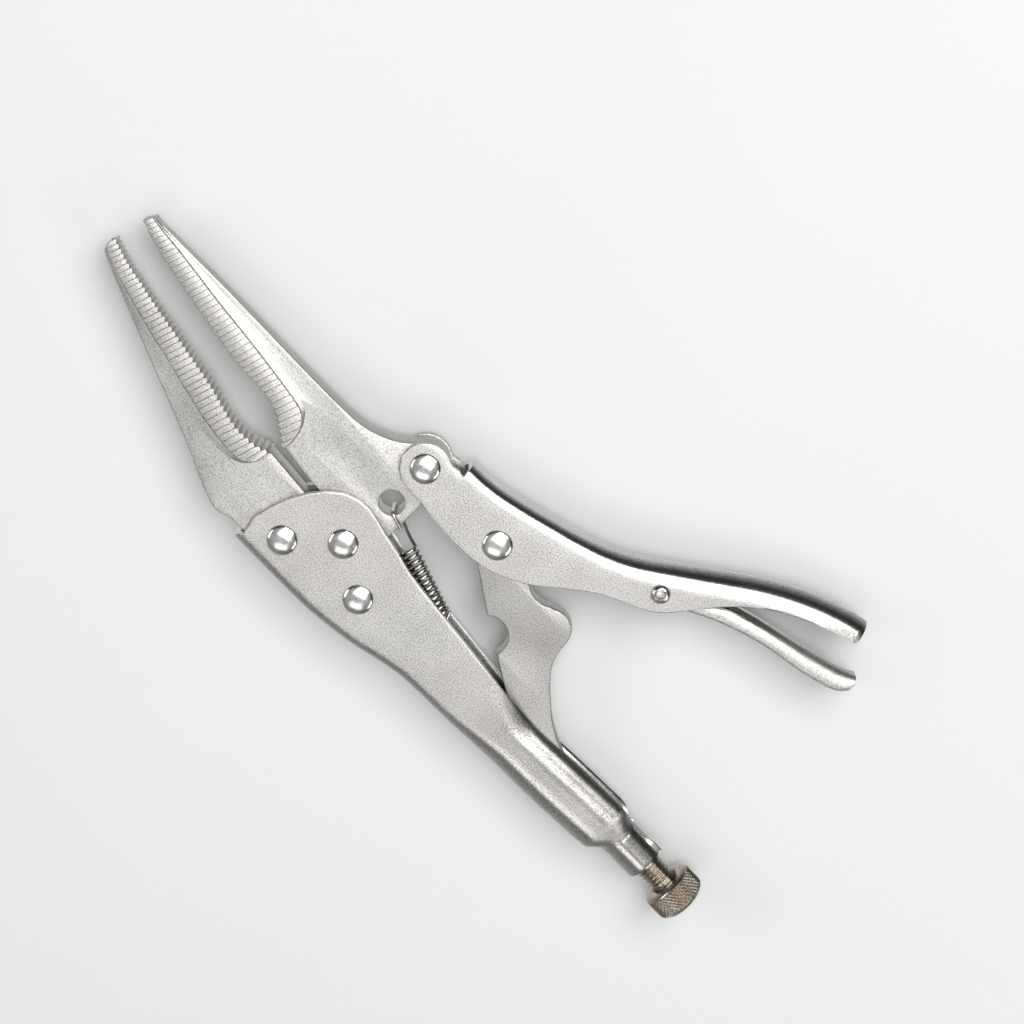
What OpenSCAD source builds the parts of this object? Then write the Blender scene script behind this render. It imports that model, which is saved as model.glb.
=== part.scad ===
// Locking pliers with long straight jaws: a toggle linkage in two pressed-steel channel handles.
// The tool lies on its side. +X runs from the jaw tips towards the knob, along the adjusting screw,
// +Y runs from the fixed handle to the moving handle, and +Z points up, away from the bench.
// The origin is on the jaw pivot's axis, on the bench under the rivet heads.

/* [Sheet metal] */
// Thickness of the pressed sheet of both handles
sheet = 1.8; // [1.4:0.1:2.0]
// Width of both handles over their side walls
channel_w = 11.6; // [11:0.1:12]

/* [Jaws] */
// Distance from the jaw pivot to the tip of the fixed jaw
jaw_reach = 92; // [88:1:96]
// Thickness of the gripping pad at the throat
pad_throat = 9.4; // [8.6:0.1:10]
// Thickness of the gripping pad at the tip
pad_tip = 5.4; // [4:0.1:6]
// Depth of a gripping tooth
tooth_depth = 0.4; // [0.2:0.05:0.5]
// Distance from one tooth to the next
tooth_pitch = 1.4; // [1.2:0.1:2]

/* [Rivets] */
// Radius of the rivet shanks
shank_r = 2.5; // [2:0.1:2.8]
// Radius of the rivet heads
head_r = 3.85; // [3.4:0.05:4]
// Height of a rivet head above the handle's side
head_h = 1.4; // [1.3:0.05:1.5]

/* [Adjusting screw] */
// Outside radius of the thread
thread_r = 3.7; // [3:0.1:3.7]
// Distance from one thread to the next
thread_pitch = 1.2; // [0.8:0.1:1.2]
// Radius of the knurled knob
knob_r = 7.1; // [6:0.1:7.1]
// Length of the knurled knob
knob_len = 7.4; // [6:0.1:8]
// Length of thread in the open between the handle's neck and the knob
thread_show = 7.6; // [5:0.1:7.6]

/* [Spring] */
// Radius of the coil to the middle of the wire
coil_r = 2.05; // [1.8:0.05:2.1]
// Diameter of the spring wire
wire_d = 0.9; // [0.7:0.1:0.9]
// Number of turns in the coil
coil_turns = 13; // [10:1:13]

/* [Hidden] */
$fn = 64;

steel = [0.76, 0.75, 0.73];
bright = [0.82, 0.82, 0.81];
dark = [0.35, 0.34, 0.33];
far = 400;

// The five pivots and the two fixing rivets, and the link's seat on the screw
pivot_jaw = [0, 0];
pivot_handle = [-0.4, 28];
pivot_link = [25.9, 27.8];
pivot_lever = [62.5, 49.1];
fixing_front = [-10.9, -10.4];
fixing_rear = [12.9, -7.2];
screw_y = -3.05;
link_seat = [85.7, screw_y];

// Heights: the mid-plane, and the faces of each layer above and below it
mid_z = channel_w / 2 + head_h;
inner_w = channel_w - 2 * sheet;
plate_w = inner_w - 0.2;
link_w = 5.6;
lever_w = inner_w - 0.5;

// Fits
fixed_fit = 0.02;
running_fit = 0.06;
seat_gap = 0.7;
boss_r = 8;
boss_gap = 0.7;
knuckle_r = 6.2;
ear_r = 6.4;
link_end_r = 6;
seat_r = 3.4;

// Neck and screw along X
neck_start = 105.5;
neck_end = 115.8;
neck_r = 5.45;
screw_tip = link_seat.x + seat_r + seat_gap;
knob_x = neck_end + thread_show;
thread_depth = 0.6;

// Coil
coil_start = [12.9, 9.5];
coil_dir = -17;
coil_pitch = 1.5;
coil_step = 30;
wire_sides = 8;
spring_hole = [0.7, 15.6];
spring_hole_r = 3.2;
spring_tab_x = 45;
tab_w = 3;
tab_hole_r = 1;
tab_hole = [spring_tab_x + 2, -9.6];

function polar(c, r, a) = c + r * [cos(a), sin(a)];
function arc(c, r, a, b, n = 12) = [for (i = [0:n]) polar(c, r, a + (b - a) * i / n)];

// A smooth curve through the points p, with n steps in each span
function bend(a, b, c, d, t) = 0.5 * (2 * b + (c - a) * t + (2 * a - 5 * b + 4 * c - d) * t * t
    + (3 * b - 3 * c + d - a) * t * t * t);
function curve(p, n = 6) = [for (i = [0:len(p) - 2], k = [0:n - 1])
    bend(p[max(i - 1, 0)], p[i], p[i + 1], p[min(i + 2, len(p) - 1)], k / n), p[len(p) - 1]];

// The path p moved sideways by d, to the left of its direction
function aside(p, d) = [for (i = [0:len(p) - 1])
    let (t = p[min(i + 1, len(p) - 1)] - p[max(i - 1, 0)]) p[i] + d * [-t.y, t.x] / norm(t)];

// A toothed line from a to b: each tooth rises by tooth_depth to the left
function teeth(a, b) = let (n = round(norm(b - a) / tooth_pitch), t = (b - a) / n,
    up = tooth_depth * [-t.y, t.x] / norm(t))
    [for (i = [0:n - 1], k = [0, 1]) a + t * (i + 0.65 * k) + up * k, b];

module layer(width) translate([0, 0, mid_z - width / 2]) linear_extrude(width) children();
module bore(at, r) translate([at.x, at.y, -1]) cylinder(h = far, r = r);
module along_screw(x) translate([x, screw_y, mid_z]) rotate([0, 90, 0]) children();

// A tapered slab, thin at the jaw tips, that trims what it is intersected with
module taper(tip, throat) translate([0, far / 2, 0]) rotate([90, 0, 0]) linear_extrude(far)
    polygon([[-jaw_reach - 1, mid_z - tip / 2], [-28, mid_z - throat / 2], [far, mid_z - throat / 2],
        [far, mid_z + throat / 2], [-28, mid_z + throat / 2], [-jaw_reach - 1, mid_z + tip / 2]]);

// Fixed handle: back of the channel, its open edge, and the front end
back_points = [[-17, -19], [2, -19], [9.4, -18.6], [15, -17.9], [20.8, -17], [26.5, -15.6],
    [32, -14.4], [39, -13.6], [60, -13.2], [80, -12.9], [92, -12.2]];
back_line = curve(concat([[-19.6, -18.6]], back_points,
    [[99, -11.9], [neck_start - 2.5, -11], [neck_start + 1, screw_y - neck_r]]));
open_line = curve([[-19.6, -18.6], [-19.8, -15.6], [-19.3, -11], [-18.3, -4.8], [-15.3, 2.4],
    [-12.5, 6.4], [-9.1, 9.3], [-5.3, 10.7], [-2, 11], [1.5, 10.3], [5.2, 9.4], [11, 8.3],
    [19, 6.6], [40, 4.5], [56, 3], [68, 2.1], [85, 3.1], [99, 3.5],
    [neck_start - 2.5, 3.2], [neck_start + 1, screw_y + neck_r]]);

module fixed_handle() color(steel) difference() {
    union() {
        layer(channel_w) polygon(concat(back_line, [for (i = [len(open_line) - 1:-1:1]) open_line[i]]));
        along_screw(neck_start) cylinder(h = neck_end - neck_start, r = neck_r);
    }
    channel_room();
    along_screw(neck_start - 10) cylinder(h = 30, r = thread_r + running_fit);
    bore(pivot_jaw, shank_r + fixed_fit);
    bore(fixing_front, shank_r + fixed_fit);
    bore(fixing_rear, shank_r + fixed_fit);
}

// The room inside the fixed handle, with the lanced tab that holds the spring left standing
module channel_room() difference() {
    layer(inner_w) polygon(concat([[-30, sheet - 19]], curve([for (p = back_points) p + [0, sheet]]),
        [[97, -9.6], [99, screw_y], [99, 20], [-30, 20]]));
    spring_tab();
}
module spring_tab() layer(tab_w) difference() {
    polygon([[spring_tab_x, -14], [spring_tab_x + 4, -14], [spring_tab_x + 4, -8.2],
        [spring_tab_x + 2, -7.4], [spring_tab_x, -8.2]]);
    translate(tab_hole) circle(r = tab_hole_r);
}

// Fixed jaw: side outline from the tip, along the back and round the two fixing rivets
throat_x = -28.2;
fixed_back = curve([[-jaw_reach, 9.6], [-90, 6.8], [-74, -0.6], [-54, -7.4], [-37.7, -14.1], [-30, -17.1],
    [-27.2, -17.6], [-24.4, -16.9], [-22.6, -16.4]]);
fixed_seat = concat(arc(pivot_jaw, boss_r + boss_gap, 168, 300, 16),
    arc(fixing_rear, 5.8, 110, -90, 12));
fixed_grip = concat(teeth([-45.6, 3.1], [-jaw_reach + 0.6, 11.9]));
fixed_throat = teeth([throat_x - 5, 0.9], [-45.6, 3.1]);

module fixed_jaw() color(steel) difference() {
    union() {
        intersection() {
            layer(plate_w) polygon(concat([[-jaw_reach, 11]], fixed_back, [[0, -16.4]],
                [for (i = [len(fixed_seat) - 1:-1:0]) fixed_seat[i]],
                [[-15.9, 1.7], [throat_x, 2.6], [-38, 0.4], [-45.6, 1.8], [-jaw_reach, 10.4]]));
            taper(pad_tip - 1.6, plate_w);
        }
        intersection() {
            layer(pad_throat) polygon(concat(curve([[throat_x, 2.6], [-30, -2.4], [-33.6, -4.6],
                [-38, -4.4], [-52, -1.4], [-74, 3.2], [-86, 6.4], [-90.4, 7.6]]),
                [[-jaw_reach, 9.6], [-jaw_reach, 11.6]],
                [for (i = [len(fixed_grip) - 1:-1:0]) fixed_grip[i]],
                [for (i = [len(fixed_throat) - 1:-1:0]) fixed_throat[i]]));
            taper(pad_tip, pad_throat);
        }
    }
    bore(fixing_front, shank_r + fixed_fit);
    bore(fixing_rear, shank_r + fixed_fit);
}

// Moving jaw: boss on the jaw pivot, knuckle on the handle pivot, and the long jaw
moving_top = curve([[-6.2, 29.6], [-10, 27], [-17, 24], [-26, 23.2], [-60, 22.9], [-84, 22.2],
    [-88.4, 21.6]]);
moving_grip = teeth([-90.6, 19.1], [-48, 12.4]);
moving_throat = teeth([-48, 12.4], [-33.6, 10.4]);
moving_under = concat([[throat_x + 0.6, 5.6], [-21, 5.1], [-14, 4.6]],
    arc(pivot_jaw, boss_r, 150, 360, 20), [[6.6, 10], [6, 21]], arc(pivot_handle, knuckle_r, -40, 165, 16));

module moving_jaw() color(steel) difference() {
    union() {
        intersection() {
            layer(plate_w) polygon(concat(moving_top,
                [[-90.6, 20.6], [-90.6, 19.8], [-48, 13.4], [-33.6, 11.6]], moving_under));
            taper(pad_tip - 1.6, plate_w);
        }
        intersection() {
            layer(pad_throat) polygon(concat(curve([[throat_x + 0.6, 5.6], [-26.9, 9], [-27.4, 12.4],
                [-30, 14.6], [-38, 16.4], [-60, 19.1], [-84, 21.9], [-88.4, 22]]), [[-90.2, 20.6]],
                moving_grip, moving_throat, [[-30.4, 8.4]]));
            taper(pad_tip, pad_throat);
        }
    }
    bore(pivot_jaw, shank_r + running_fit);
    bore(pivot_handle, shank_r + running_fit);
    bore(spring_hole, spring_hole_r);
}

// Moving handle: outer web line from the lip to the tail, and the open edges of its side walls
web_line = curve([[8, 36.9], [15, 37.4], [22.3, 39], [29.4, 41], [38.6, 43.8], [47.1, 47.2],
    [54, 51.2], [62, 57.3], [70.4, 63.8], [77.2, 68.9], [84.2, 73.4], [92.1, 77.4], [100, 80.6],
    [104.4, 81.8]]);
wall_line = curve([[4.9, 21.4], [11.5, 20.6], [18.4, 20.5], [25.1, 21], [31.1, 22.5], [38.9, 26.8],
    [45, 32], [51.5, 37.2], [58, 40.9], [63, 43.3], [67.2, 46.6], [71, 52],
    [78.1, 61.2], [87.3, 69.3], [97.4, 74.9], [102, 77.6]]);
ear_top = curve([[2.9, 33.6], [5.1, 34], [6.8, 35.4]], 3);

module moving_handle() color(steel) difference() {
    layer(channel_w) polygon(concat(web_line, [[105.6, 81.3], [105.3, 80], [104, 78.9]],
        [for (i = [len(wall_line) - 1:-1:0]) wall_line[i]],
        arc(pivot_handle, ear_r, -60, -278, 24), ear_top));
    layer(inner_w) polygon(concat(aside(web_line, -sheet),
        [[101, 70], [60, 20], [-20, 0], [-20, 60], [6, 60], [6, 35.6]]));
    bore(pivot_handle, shank_r + fixed_fit);
    bore(pivot_link, shank_r + fixed_fit);
    bore(pivot_lever, lever_shank_r + fixed_fit);
}

// Release lever: a narrow stamped channel on its own pivot, with a nose that presses the link
lever_shank_r = 1.9;
lever_wall = 1.4;
nose = [52.4, 41.6];
lever_low = curve([[70, 50.8], [77.8, 54.3], [88.7, 58.2], [101.3, 60.9], [109, 62.9], [112.6, 64.4],
    [114.2, 66.6]]);
lever_high = curve([[112.6, 69.4], [107, 67.6], [96, 64.6], [86, 62.4], [78, 59.6], [71, 55.6]]);

module release_lever() color(steel) difference() {
    layer(lever_w) polygon(concat(lever_low, [[114.4, 69.2]], lever_high,
        arc(pivot_lever, 4.2, 60, 150, 8), [nose + [-1, 1.4], nose + [-1.2, -0.2], nose + [0.4, -1]],
        arc(pivot_lever, 4.2, 240, 300, 6)));
    layer(lever_w - 2 * lever_wall) polygon(concat(aside(lever_high, lever_wall),
        [[68, 53.2], [67, 46], [114, 58], [113.2, 67.2]]));
    bore(pivot_lever, lever_shank_r + running_fit);
}

// Toggle link: from the link pivot to its seat on the screw, with the nub that the lever presses
notch = [42.3, 9];
notch_r = 5.5;
link_low = concat([[38.2, 13]], arc(notch, notch_r, 134, -14, 12),
    curve([[47.8, 7.6], [51.4, 5.4], [60, 0.8], [70, -3.2], [82, -5.6]]));
link_high = curve([[88, -0.6], [80, 1.4], [71.7, 5.1], [66.3, 9], [62.1, 12.6], [59.5, 15.5], [57.8, 19.2],
    [57, 23.3], [55.6, 25.8], [53.7, 27], [51.1, 27.2], [48.4, 26.3], [45.3, 24.9], [41.5, 25.1], [36, 28.4],
    [30.6, 31.6]]);

module toggle_link() color(steel) difference() {
    layer(link_w) polygon(concat(arc(pivot_link, link_end_r, 60, 238, 20), link_low,
        arc(link_seat, seat_r, 230, 410, 16), link_high));
    bore(pivot_link, shank_r + running_fit);
}

// A wire of round section swept along the path p
function cross_unit(a, b) = let (c = cross(a, b)) c / norm(c);
module wire(p) {
    last = len(p) - 1;
    rings = [for (i = [0:last])
        let (t = p[min(i + 1, last)] - p[max(i - 1, 0)], u = cross_unit(t, [0.3, 0.2, 1]),
            v = cross_unit(t, u))
        [for (k = [0:wire_sides - 1])
            p[i] + wire_d / 2 * (u * cos(360 * k / wire_sides) + v * sin(360 * k / wire_sides))]];
    polyhedron([for (r = rings, q = r) q], concat(
        [for (i = [0:last - 1], k = [0:wire_sides - 1])
            let (a = i * wire_sides, j = (k + 1) % wire_sides)
            [a + k, a + j, a + wire_sides + j, a + wire_sides + k]],
        [[for (k = [wire_sides - 1:-1:0]) k], [for (k = [0:wire_sides - 1]) last * wire_sides + k]]));
}

// A point of the coil, so many turns from its front end; placed() takes it into the tool's frame
function coil_point(turn) =
    placed([coil_pitch * turn, coil_r * cos(360 * turn), coil_r * sin(360 * turn)]);
function placed(q) = [coil_start.x + q.x * cos(coil_dir) - q.y * sin(coil_dir),
    coil_start.y + q.x * sin(coil_dir) + q.y * cos(coil_dir), mid_z + q.z];
jaw_side = plate_w / 2;
hook_jaw = curve([[7, 12.9, 0.7], [5.2, 13.4, 0.8], [3.6, 13.85, 0.85], [2.9, 14.05, 0.6],
    [2.7, 14.15, -0.4], [2.7, 14.15, -jaw_side]], 3);
hook_back = curve([[2.7, 14.15, jaw_side - 0.4], [2.9, 14.05, -0.6], [3.6, 13.85, -0.85],
    [5.2, 13.4, -0.8], [7.6, 12.7, 0], [10, 12, 1.6], [11.8, 11.7, 3.2]], 3);
hook_tab = curve([[33.4, 2.6, 1.8], [36.5, -0.6, 2.2], [42, -6.2, 2.3], [45.4, -9, 2.5], [46.6, -9.5, 2.3],
    [tab_hole.x, tab_hole.y, 1.3], [tab_hole.x, tab_hole.y, -1.3], [46.6, -9.5, -2.3], [45.4, -9, -2.5],
    [43.4, -7.2, -2.3]], 3);

module tension_spring() color(dark) union() {
    wire(concat([for (p = hook_jaw) p + [0, 0, mid_z + jaw_side]],
        [for (p = hook_back) p + [0, 0, mid_z - jaw_side]],
        [for (a = [0:coil_step:360 * coil_turns]) coil_point(a / 360)],
        [for (p = hook_tab) p + [0, 0, mid_z]]));
}

// Adjusting screw: a rod with its threads as rings, seated in the knob
module adjusting_screw() color(bright) along_screw(0) {
    rotate_extrude() polygon(concat([[0, screw_tip], [thread_r - 1.2, screw_tip], [thread_r - thread_depth,
        screw_tip + 1]], [for (x = [screw_tip + 1:thread_pitch:knob_x - 1])
            each [[thread_r - thread_depth, x], [thread_r, x + 0.45 * thread_pitch],
                [thread_r, x + 0.55 * thread_pitch]]],
        [[thread_r - thread_depth, knob_x], [thread_r - thread_depth, knob_x + knob_len - 1],
        [0, knob_x + knob_len - 1]]));
}

// Knurled knob, drilled to take the rod
module knurled_knob() color(bright) along_screw(knob_x) rotate_extrude()
    polygon([[thread_r, 0], [knob_r - 1, 0], [knob_r, 1], [knob_r, knob_len - 1.2],
        [knob_r - 1.2, knob_len], [0, knob_len], [0, knob_len - 1 + running_fit],
        [thread_r - thread_depth + running_fit, knob_len - 1 + running_fit],
        [thread_r - thread_depth + running_fit, running_fit], [thread_r, running_fit]]);

// A rivet with a domed head on the upper side and a flat peened head on the bench side
module rivet(at, shank, head) color(bright) translate([at.x, at.y, 0]) {
    dome_r = (head * head + head_h * head_h) / (2 * head_h);
    cylinder(h = head_h + channel_w, r = shank);
    cylinder(h = head_h * 0.5, r1 = head - 0.6, r2 = head - 0.1);
    translate([0, 0, head_h * 0.5]) cylinder(h = head_h * 0.5, r = head - 0.1);
    translate([0, 0, head_h + channel_w]) intersection() {
        cylinder(h = head_h, r = head);
        translate([0, 0, head_h - dome_r]) sphere(r = dome_r);
    }
}
module jaw_pivot_rivet() rivet(pivot_jaw, shank_r, head_r);
module fixed_jaw_rivet_front() rivet(fixing_front, shank_r, head_r);
module fixed_jaw_rivet_rear() rivet(fixing_rear, shank_r, head_r);
module handle_pivot_rivet() rivet(pivot_handle, shank_r, head_r);
module link_pivot_rivet() rivet(pivot_link, shank_r, head_r);

// Tubular rivet of the release lever, rolled over at both ends
module lever_pivot_rivet() color(bright) translate([pivot_lever.x, pivot_lever.y, mid_z]) {
    rim = channel_w / 2;
    rotate_extrude() polygon([[1.1, -rim - 0.6], [1.9, -rim - 0.7], [2.5, -rim - 0.4], [2.5, -rim],
        [lever_shank_r, -rim], [lever_shank_r, rim], [2.5, rim], [2.5, rim + 0.4], [1.9, rim + 0.7],
        [1.1, rim + 0.6]]);
}

fixed_handle();
fixed_jaw();
moving_jaw();
moving_handle();
release_lever();
toggle_link();
tension_spring();
adjusting_screw();
knurled_knob();
jaw_pivot_rivet();
fixed_jaw_rivet_front();
fixed_jaw_rivet_rear();
handle_pivot_rivet();
link_pivot_rivet();
lever_pivot_rivet();
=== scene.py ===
import math

import bmesh
import bpy
import numpy as np
from mathutils import Matrix, Vector


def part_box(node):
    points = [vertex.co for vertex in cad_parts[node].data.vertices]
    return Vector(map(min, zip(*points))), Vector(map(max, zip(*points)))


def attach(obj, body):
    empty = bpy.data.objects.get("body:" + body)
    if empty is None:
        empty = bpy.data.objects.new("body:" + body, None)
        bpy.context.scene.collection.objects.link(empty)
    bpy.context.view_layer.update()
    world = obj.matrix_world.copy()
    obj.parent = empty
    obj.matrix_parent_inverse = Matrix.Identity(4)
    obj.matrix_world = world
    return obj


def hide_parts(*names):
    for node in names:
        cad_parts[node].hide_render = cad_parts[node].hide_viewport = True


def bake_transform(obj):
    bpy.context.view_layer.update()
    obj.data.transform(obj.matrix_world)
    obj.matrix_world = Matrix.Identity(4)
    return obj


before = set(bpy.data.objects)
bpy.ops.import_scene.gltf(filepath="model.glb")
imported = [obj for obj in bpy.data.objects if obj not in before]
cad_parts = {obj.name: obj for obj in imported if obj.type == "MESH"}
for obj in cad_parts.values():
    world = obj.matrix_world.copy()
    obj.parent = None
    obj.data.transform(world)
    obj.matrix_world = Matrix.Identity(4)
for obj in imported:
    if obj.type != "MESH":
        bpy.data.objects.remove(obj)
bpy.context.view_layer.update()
scene = bpy.context.scene
MM = 0.001


# Places taken from the frame, in millimetres
def middle(node):
    lo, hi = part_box(node)
    return np.array([(lo.x + hi.x) / 2, (lo.y + hi.y) / 2]) / MM


def span(node, axis):
    lo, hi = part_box(node)
    return lo[axis] / MM, hi[axis] / MM


HANDLE = middle("handle_pivot_rivet")
LINK = middle("link_pivot_rivet")
LEVER = middle("lever_pivot_rivet")
JAW = middle("jaw_pivot_rivet")
SCREW_Y = middle("adjusting_screw")[1]
Z_LOW, Z_HIGH = span("fixed_handle", 2)
MID = (Z_LOW + Z_HIGH) / 2
HALF = (Z_HIGH - Z_LOW) / 2
SHEET = 1.8


# Curves and lines in the plane of the tool
def arc(c, r, a, b, n=12):
    """Points on a circle about c, from a to b degrees."""
    return [np.array([c[0] + r * math.cos(math.radians(a + (b - a) * i / n)),
                      c[1] + r * math.sin(math.radians(a + (b - a) * i / n))]) for i in range(n + 1)]


def curve(points, n=6):
    """A smooth curve through the points, with n steps between two of them."""
    p = [np.array(q, float) for q in points]
    out = []
    for i in range(len(p) - 1):
        a, b, c, d = p[max(i - 1, 0)], p[i], p[i + 1], p[min(i + 2, len(p) - 1)]
        for k in range(n):
            t = k / n
            out.append(0.5 * (2 * b + (c - a) * t + (2 * a - 5 * b + 4 * c - d) * t * t
                              + (3 * b - 3 * c + d - a) * t ** 3))
    return out + [p[-1]]


def resample(points, n):
    """n points evenly spaced along a line."""
    p = np.array(points, float)
    s = np.concatenate([[0], np.cumsum(np.linalg.norm(np.diff(p, axis=0), axis=1))])
    at = np.linspace(0, s[-1], n)
    return [np.array([np.interp(a, s, p[:, k]) for k in range(p.shape[1])]) for a in at]


def normals(points, side):
    """Unit normals of a line, to its left where side is 1 and to its right where it is -1."""
    out = []
    for i in range(len(points)):
        t = points[min(i + 1, len(points) - 1)] - points[max(i - 1, 0)]
        out.append(side * np.array([-t[1], t[0]]) / np.linalg.norm(t))
    return out


def smooth(x, a, b):
    """0 up to a, 1 from b, and an S-shaped rise between."""
    t = min(max((x - a) / (b - a), 0), 1)
    return t * t * (3 - 2 * t)


# Meshes
def mesh_object(name, verts, faces, polish=None):
    """A mesh from points in millimetres; polish is how smooth the finish is at each point, from 0 to 1."""
    me = bpy.data.meshes.new(name)
    me.from_pydata([tuple(float(c) * MM for c in v) for v in verts], [], faces)
    me.validate()
    if polish is not None:
        me.attributes.new("polish", "FLOAT", "POINT").data.foreach_set("value", np.array(polish, np.float32))
    o = bpy.data.objects.new(name, me)
    scene.collection.objects.link(o)
    return o


def tidy(o, weld=0.002):
    """Welds points that lie together and turns the faces outward."""
    bm = bmesh.new()
    bm.from_mesh(o.data)
    bmesh.ops.remove_doubles(bm, verts=bm.verts, dist=weld * MM)
    bmesh.ops.recalc_face_normals(bm, faces=bm.faces)
    bm.to_mesh(o.data)
    bm.free()
    return o


def bake(o):
    bpy.context.view_layer.update()
    me = bpy.data.meshes.new_from_object(o.evaluated_get(bpy.context.evaluated_depsgraph_get()))
    o.modifiers.clear()
    o.data = me
    return o


def bevel(o, width, segments=2, angle=50):
    m = o.modifiers.new("rim", "BEVEL")
    m.width, m.segments, m.limit_method = width * MM, segments, "ANGLE"
    m.angle_limit = math.radians(angle)
    m.use_clamp_overlap = False
    m.harden_normals = False
    return bake(o)


def combine(o, tool, operation):
    m = o.modifiers.new("solid", "BOOLEAN")
    m.object, m.operation, m.solver = tool, operation, "EXACT"
    bake(o)
    bpy.data.objects.remove(tool)
    return o


def join(o, *others):
    """Adds other meshes to o as further shells."""
    for other in others:
        bm = bmesh.new()
        bm.from_mesh(o.data)
        bm.from_mesh(other.data)
        bm.to_mesh(o.data)
        bm.free()
        bpy.data.objects.remove(other)
    return o


def unite(o, tool):
    """The two solids as one, or two shells of one mesh where the exact union gives nothing usable."""
    plain, other = o.data.copy(), tool.copy()
    least = len(plain.vertices) + len(tool.data.vertices) // 2
    combine(o, tool, "UNION")
    if len(o.data.vertices) < least:
        print("union fell back to joined shells", o.name)
        o.data = plain
        scene.collection.objects.link(other)
        return join(o, other)
    bpy.data.objects.remove(other)
    return o


FLAT_AREA = 40 * MM * MM


def shade(o, angle=35):
    """Smooth faces with sharp edges over the angle; large flat faces stay flat."""
    for p in o.data.polygons:
        p.use_smooth = p.area < FLAT_AREA
    o.data.set_sharp_from_angle(angle=math.radians(angle))
    return o


def lathe(name, profile, place, axis="Z", sides=64, wobble=None):
    """Turns a profile of (radius, height) round an axis; the ends on the axis are closed."""
    verts, faces, rings = [], [], []
    for j, (r, h) in enumerate(profile):
        if r < 1e-6:
            rings.append([len(verts)])
            verts.append((0, 0, h))
            continue
        rings.append(list(range(len(verts), len(verts) + sides)))
        for i in range(sides):
            a = 2 * math.pi * i / sides
            rr = r if wobble is None else wobble(r, h, a)
            verts.append((rr * math.cos(a), rr * math.sin(a), h))
    for a, b in zip(rings, rings[1:]):
        for i in range(sides):
            j = (i + 1) % sides
            if len(a) == 1 and len(b) > 1:
                faces.append((a[0], b[j], b[i]))
            elif len(b) == 1 and len(a) > 1:
                faces.append((a[i], a[j], b[0]))
            elif len(a) > 1 and len(b) > 1:
                faces.append((a[i], a[j], b[j], b[i]))
    o = mesh_object(name, verts, faces)
    turn = Matrix.Rotation(math.radians(90), 4, "Y") if axis == "X" else Matrix.Identity(4)
    o.data.transform(Matrix.Translation(Vector(place) * MM) @ turn)
    return tidy(o)


def plate(name, outline, half, rim, holes=()):
    """A stamped plate about the mid-plane with rounded rims and round holes."""
    cu = bpy.data.curves.new(name, "CURVE")
    cu.dimensions, cu.fill_mode = "2D", "BOTH"
    cu.extrude, cu.bevel_depth, cu.bevel_resolution, cu.offset = (half - rim) * MM, rim * MM, 2, -rim * MM
    for loop in [outline] + [arc(c, r, 0, 360, 40)[:-1] for c, r in holes]:
        sp = cu.splines.new("POLY")
        sp.points.add(len(loop) - 1)
        for q, v in zip(sp.points, loop):
            q.co = (v[0] * MM, v[1] * MM, 0, 1)
        sp.use_cyclic_u = True
    o = bpy.data.objects.new(name, cu)
    scene.collection.objects.link(o)
    bpy.context.view_layer.update()
    me = bpy.data.meshes.new_from_object(o.evaluated_get(bpy.context.evaluated_depsgraph_get()))
    bpy.data.objects.remove(o)
    o = bpy.data.objects.new(name, me)
    scene.collection.objects.link(o)
    me.transform(Matrix.Translation((0, 0, MID * MM)))
    return tidy(o)


def taper(o, x0, tip_x, share):
    """Thins a plate evenly from x0 to the tip, where share of the thickness is left."""
    bm = bmesh.new()
    bm.from_mesh(o.data)
    bmesh.ops.bisect_plane(bm, geom=bm.verts[:] + bm.edges[:] + bm.faces[:], dist=1e-7,
                           plane_co=(x0 * MM, 0, 0), plane_no=(1, 0, 0))
    for v in bm.verts:
        x = v.co.x / MM
        if x < x0:
            k = 1 - (1 - share) * (x0 - x) / (x0 - tip_x)
            v.co.z = MID * MM + (v.co.z - MID * MM) * k
    bm.to_mesh(o.data)
    bm.free()
    return o


ARC_STEPS, WALL_STEPS, CURL_STEPS = 8, 4, 5
FOLD = 2 + ARC_STEPS


def half_section(T, N, E, r, w, t, turn=0.0, curl=4.2, deep=None):
    """Outer and inner points of half a channel: web, fold, side wall and a rim curled in by turn degrees."""
    rows = []
    deep = r if deep is None else deep
    for s in (0, 0.5, 1):
        rows.append(((T, (w - r) * s), (T + N * t, (w - r) * s), 0.75))
    for j in range(1, ARC_STEPS + 1):
        a = math.radians(90 * j / ARC_STEPS)
        rows.append(((T + N * (deep - deep * math.cos(a)), w - r + r * math.sin(a)),
                     (T + N * (deep - (deep - t) * math.cos(a)), w - r + (r - t) * math.sin(a)),
                     1 - smooth(j / ARC_STEPS, 0.55, 1.0)))
    W = T + N * deep
    wall = np.linalg.norm(E - W)
    e = (E - W) / wall
    curl = min(curl, 0.7 * wall)
    th = math.radians(max(turn, 0.05))
    R = curl / th
    straight = wall - R * math.sin(th)
    for j in range(1, WALL_STEPS + 1):
        p = W + e * straight * j / WALL_STEPS
        rows.append(((p, w), (p, w - t), 0.0))
    for j in range(1, CURL_STEPS + 1):
        a = th * j / CURL_STEPS
        rim = 1.0 if j == CURL_STEPS else 0.0
        base = W + e * straight
        rows.append(((base + e * R * math.sin(a), w - R * (1 - math.cos(a))),
                     (base + e * (R - t) * math.sin(a), w - R + (R - t) * math.cos(a)), max(rim, turn / 90)))
    return rows


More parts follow.
